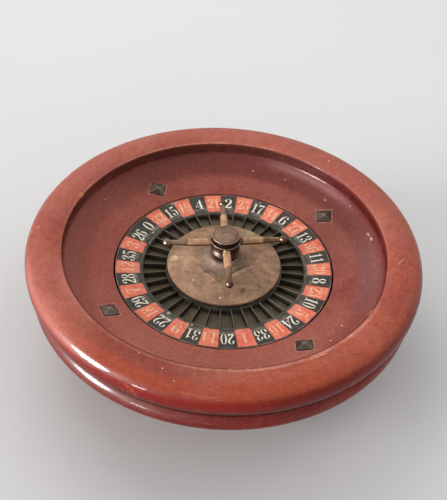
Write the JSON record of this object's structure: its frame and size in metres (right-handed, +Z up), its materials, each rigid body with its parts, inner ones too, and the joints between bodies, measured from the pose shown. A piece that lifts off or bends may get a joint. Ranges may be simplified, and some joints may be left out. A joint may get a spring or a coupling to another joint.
{
  "type": "roulette wheel",
  "caption": "Tabletop roulette wheel: a turned wooden bowl with a rounded rim and ball track on a foot, and a brass-topped wheel head with numbered pockets that spins freely.",
  "frame": {"origin": "on the wheel's axis, at the surface that the felt under the foot stands on", "axes": "+Z up along the wheel's axis; -Y towards the side that the reference view was taken from, +X to its right"},
  "size_m": [0.3299, 0.33, 0.1099],
  "materials": {
    "polished_wood": "red-brown stain under worn gloss polish",
    "plain_board": "plain board, unpolished",
    "black_paint": "turned wood under black paint",
    "felt": "dark green felt",
    "dark_bronze": "cast, dark with age",
    "aged_brass": "turned, dulled brown with age",
    "dull_metal": "dull plated strip",
    "number_paint": "red and near-black cells with cream numerals",
    "steel": "turned and ground"
  },
  "bodies": {
    "bowl": {"rim": "polished_wood", "lower_moulding": "polished_wood", "track_ledge": "polished_wood", "track_ring": "polished_wood", "underbody": "polished_wood", "foot_ring": "polished_wood", "base_board": "plain_board", "base_screws": "steel", "felt_ring": "felt", "deflector_1": "dark_bronze", "deflector_2": "dark_bronze", "deflector_3": "dark_bronze", "deflector_4": "dark_bronze", "spindle": "steel", "spindle_screws": "steel", "spindle_spacer": "steel", "spindle_washer": "steel", "spindle_nut": "steel", "lower_inner_race": "steel", "upper_inner_race": "steel"},
    "wheel_head": {"rotor_disc": "black_paint", "hub_block": "black_paint", "number_seat": "black_paint", "number_ring": "number_paint", "edge_band": "dull_metal", "frets": "dull_metal", "pocket_floor": "black_paint", "pocket_wall": "black_paint", "pocket_band": "dull_metal", "cone": "aged_brass", "turret_base": "aged_brass", "turret_barrel": "aged_brass", "turret_cap": "aged_brass", "handle_arm_1": "aged_brass", "handle_arm_2": "aged_brass", "handle_arm_3": "aged_brass", "handle_arm_4": "aged_brass", "bearing_housing": "aged_brass", "housing_screws": "steel", "lower_outer_race": "steel", "upper_outer_race": "steel"},
    "lower_cage": {"lower_bearing_balls": "steel", "lower_bearing_cage": "steel"},
    "upper_cage": {"upper_bearing_balls": "steel", "upper_bearing_cage": "steel"}
  },
  "joints": [
    {"name": "wheel_spin", "type": "hinge", "parent": "bowl", "child": "wheel_head", "pos_m": [0, 0, 0.06], "axis": [0, 0, 1], "continuous": true},
    {"name": "lower_cage_roll", "type": "hinge", "parent": "bowl", "child": "lower_cage", "pos_m": [0, 0, 0.0495], "axis": [0, 0, 1], "continuous": true},
    {"name": "upper_cage_roll", "type": "hinge", "parent": "bowl", "child": "upper_cage", "pos_m": [0, 0, 0.0655], "axis": [0, 0, 1], "continuous": true}
  ],
  "couplings": [
    {"joint": "lower_cage_roll", "follows": "wheel_spin", "ratio": 0.632},
    {"joint": "upper_cage_roll", "follows": "wheel_spin", "ratio": 0.632}
  ]
}
